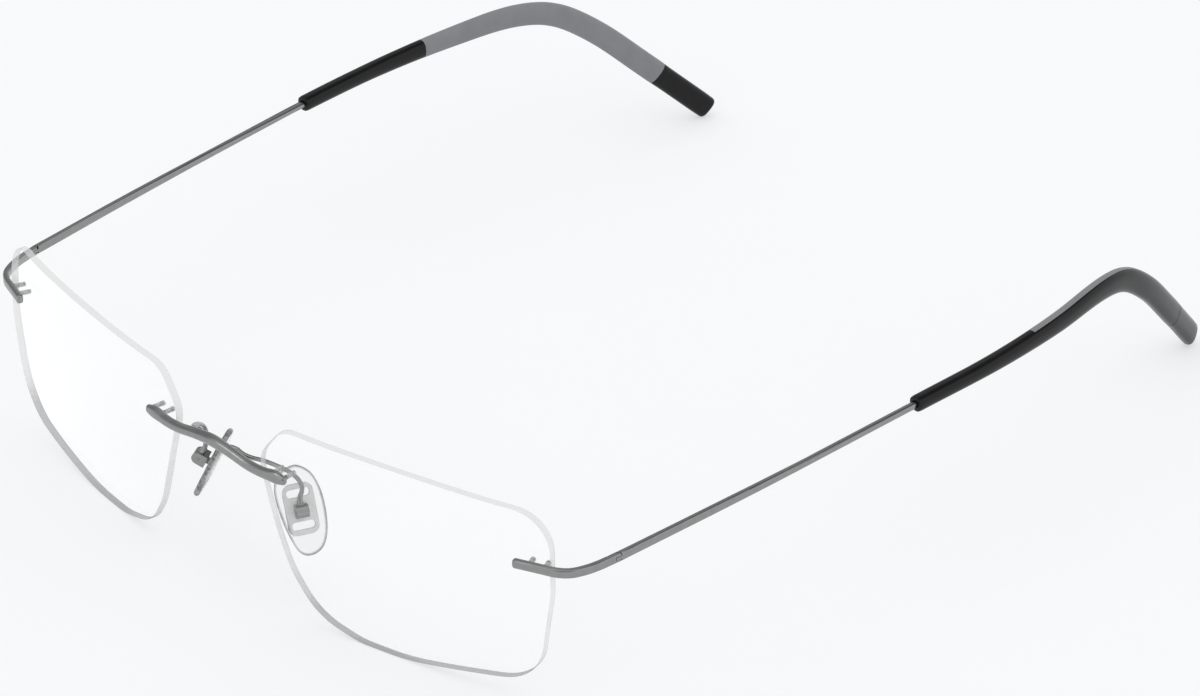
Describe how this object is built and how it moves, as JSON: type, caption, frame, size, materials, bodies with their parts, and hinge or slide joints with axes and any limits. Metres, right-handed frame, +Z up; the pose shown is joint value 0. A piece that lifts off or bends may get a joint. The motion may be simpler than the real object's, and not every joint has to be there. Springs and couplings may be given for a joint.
{
  "type": "eyeglasses",
  "caption": "Rimless eyeglasses: clear lenses on a wire bridge and bar end pieces, folding wire temples with two-tone tips, and nose pads that rock.",
  "frame": {"origin": "middle of the footprint, on the table the open glasses stand on", "axes": "+X to the wearer's left, -Y the front, +Z up"},
  "size_m": [0.1392, 0.164, 0.0336],
  "materials": {
    "titanium": "fine satin titanium, light grey",
    "lens": "clear polished lens with a fine-ground edge",
    "sleeve": "translucent plastic",
    "silicone": "clear soft silicone",
    "insert": "greyish translucent plastic",
    "black_tip": "black, half gloss",
    "grey_tip": "grey, satin"
  },
  "bodies": {
    "front": {"bridge": "titanium", "lens_left": "lens", "lens_right": "lens", "end_piece_left": "titanium", "end_piece_right": "titanium", "sleeve_bridge_left_1": "sleeve", "sleeve_bridge_right_1": "sleeve", "sleeve_end_left_1": "sleeve", "sleeve_end_right_1": "sleeve", "sleeve_bridge_left_2": "sleeve", "sleeve_bridge_right_2": "sleeve", "sleeve_end_left_2": "sleeve", "sleeve_end_right_2": "sleeve", "hinge_pin_left": "titanium", "hinge_pin_right": "titanium", "pad_arm_left": "titanium", "pad_arm_right": "titanium", "pad_pin_left": "titanium", "pad_pin_right": "titanium"},
    "temple_left": {"temple_left": "titanium", "tip_sleeve_left": "black_tip", "tip_inlay_left": "grey_tip", "tip_cap_left": "black_tip"},
    "temple_right": {"temple_right": "titanium", "tip_sleeve_right": "black_tip", "tip_inlay_right": "grey_tip", "tip_cap_right": "black_tip"},
    "pad_left": {"nose_pad_left": "silicone", "pad_insert_left": "insert"},
    "pad_right": {"nose_pad_right": "silicone", "pad_insert_right": "insert"}
  },
  "joints": [
    {"name": "temple_left_fold", "type": "hinge", "parent": "front", "child": "temple_left", "pos_m": [0.065, -0.06006, 0.02479], "axis": [0, 0, 1], "range_deg": [0, 90]},
    {"name": "temple_right_fold", "type": "hinge", "parent": "front", "child": "temple_right", "pos_m": [-0.065, -0.06006, 0.02479], "axis": [0, 0, -1], "range_deg": [0, 84]},
    {"name": "pad_left_rock", "type": "hinge", "parent": "front", "child": "pad_left", "pos_m": [0.01144, -0.07358, 0.01546], "axis": [-0.463, -0.8838, -0.0668], "range_deg": [-12, 12]},
    {"name": "pad_right_rock", "type": "hinge", "parent": "front", "child": "pad_right", "pos_m": [-0.01144, -0.07358, 0.01546], "axis": [-0.463, 0.8838, 0.0668], "range_deg": [-12, 12]}
  ]
}
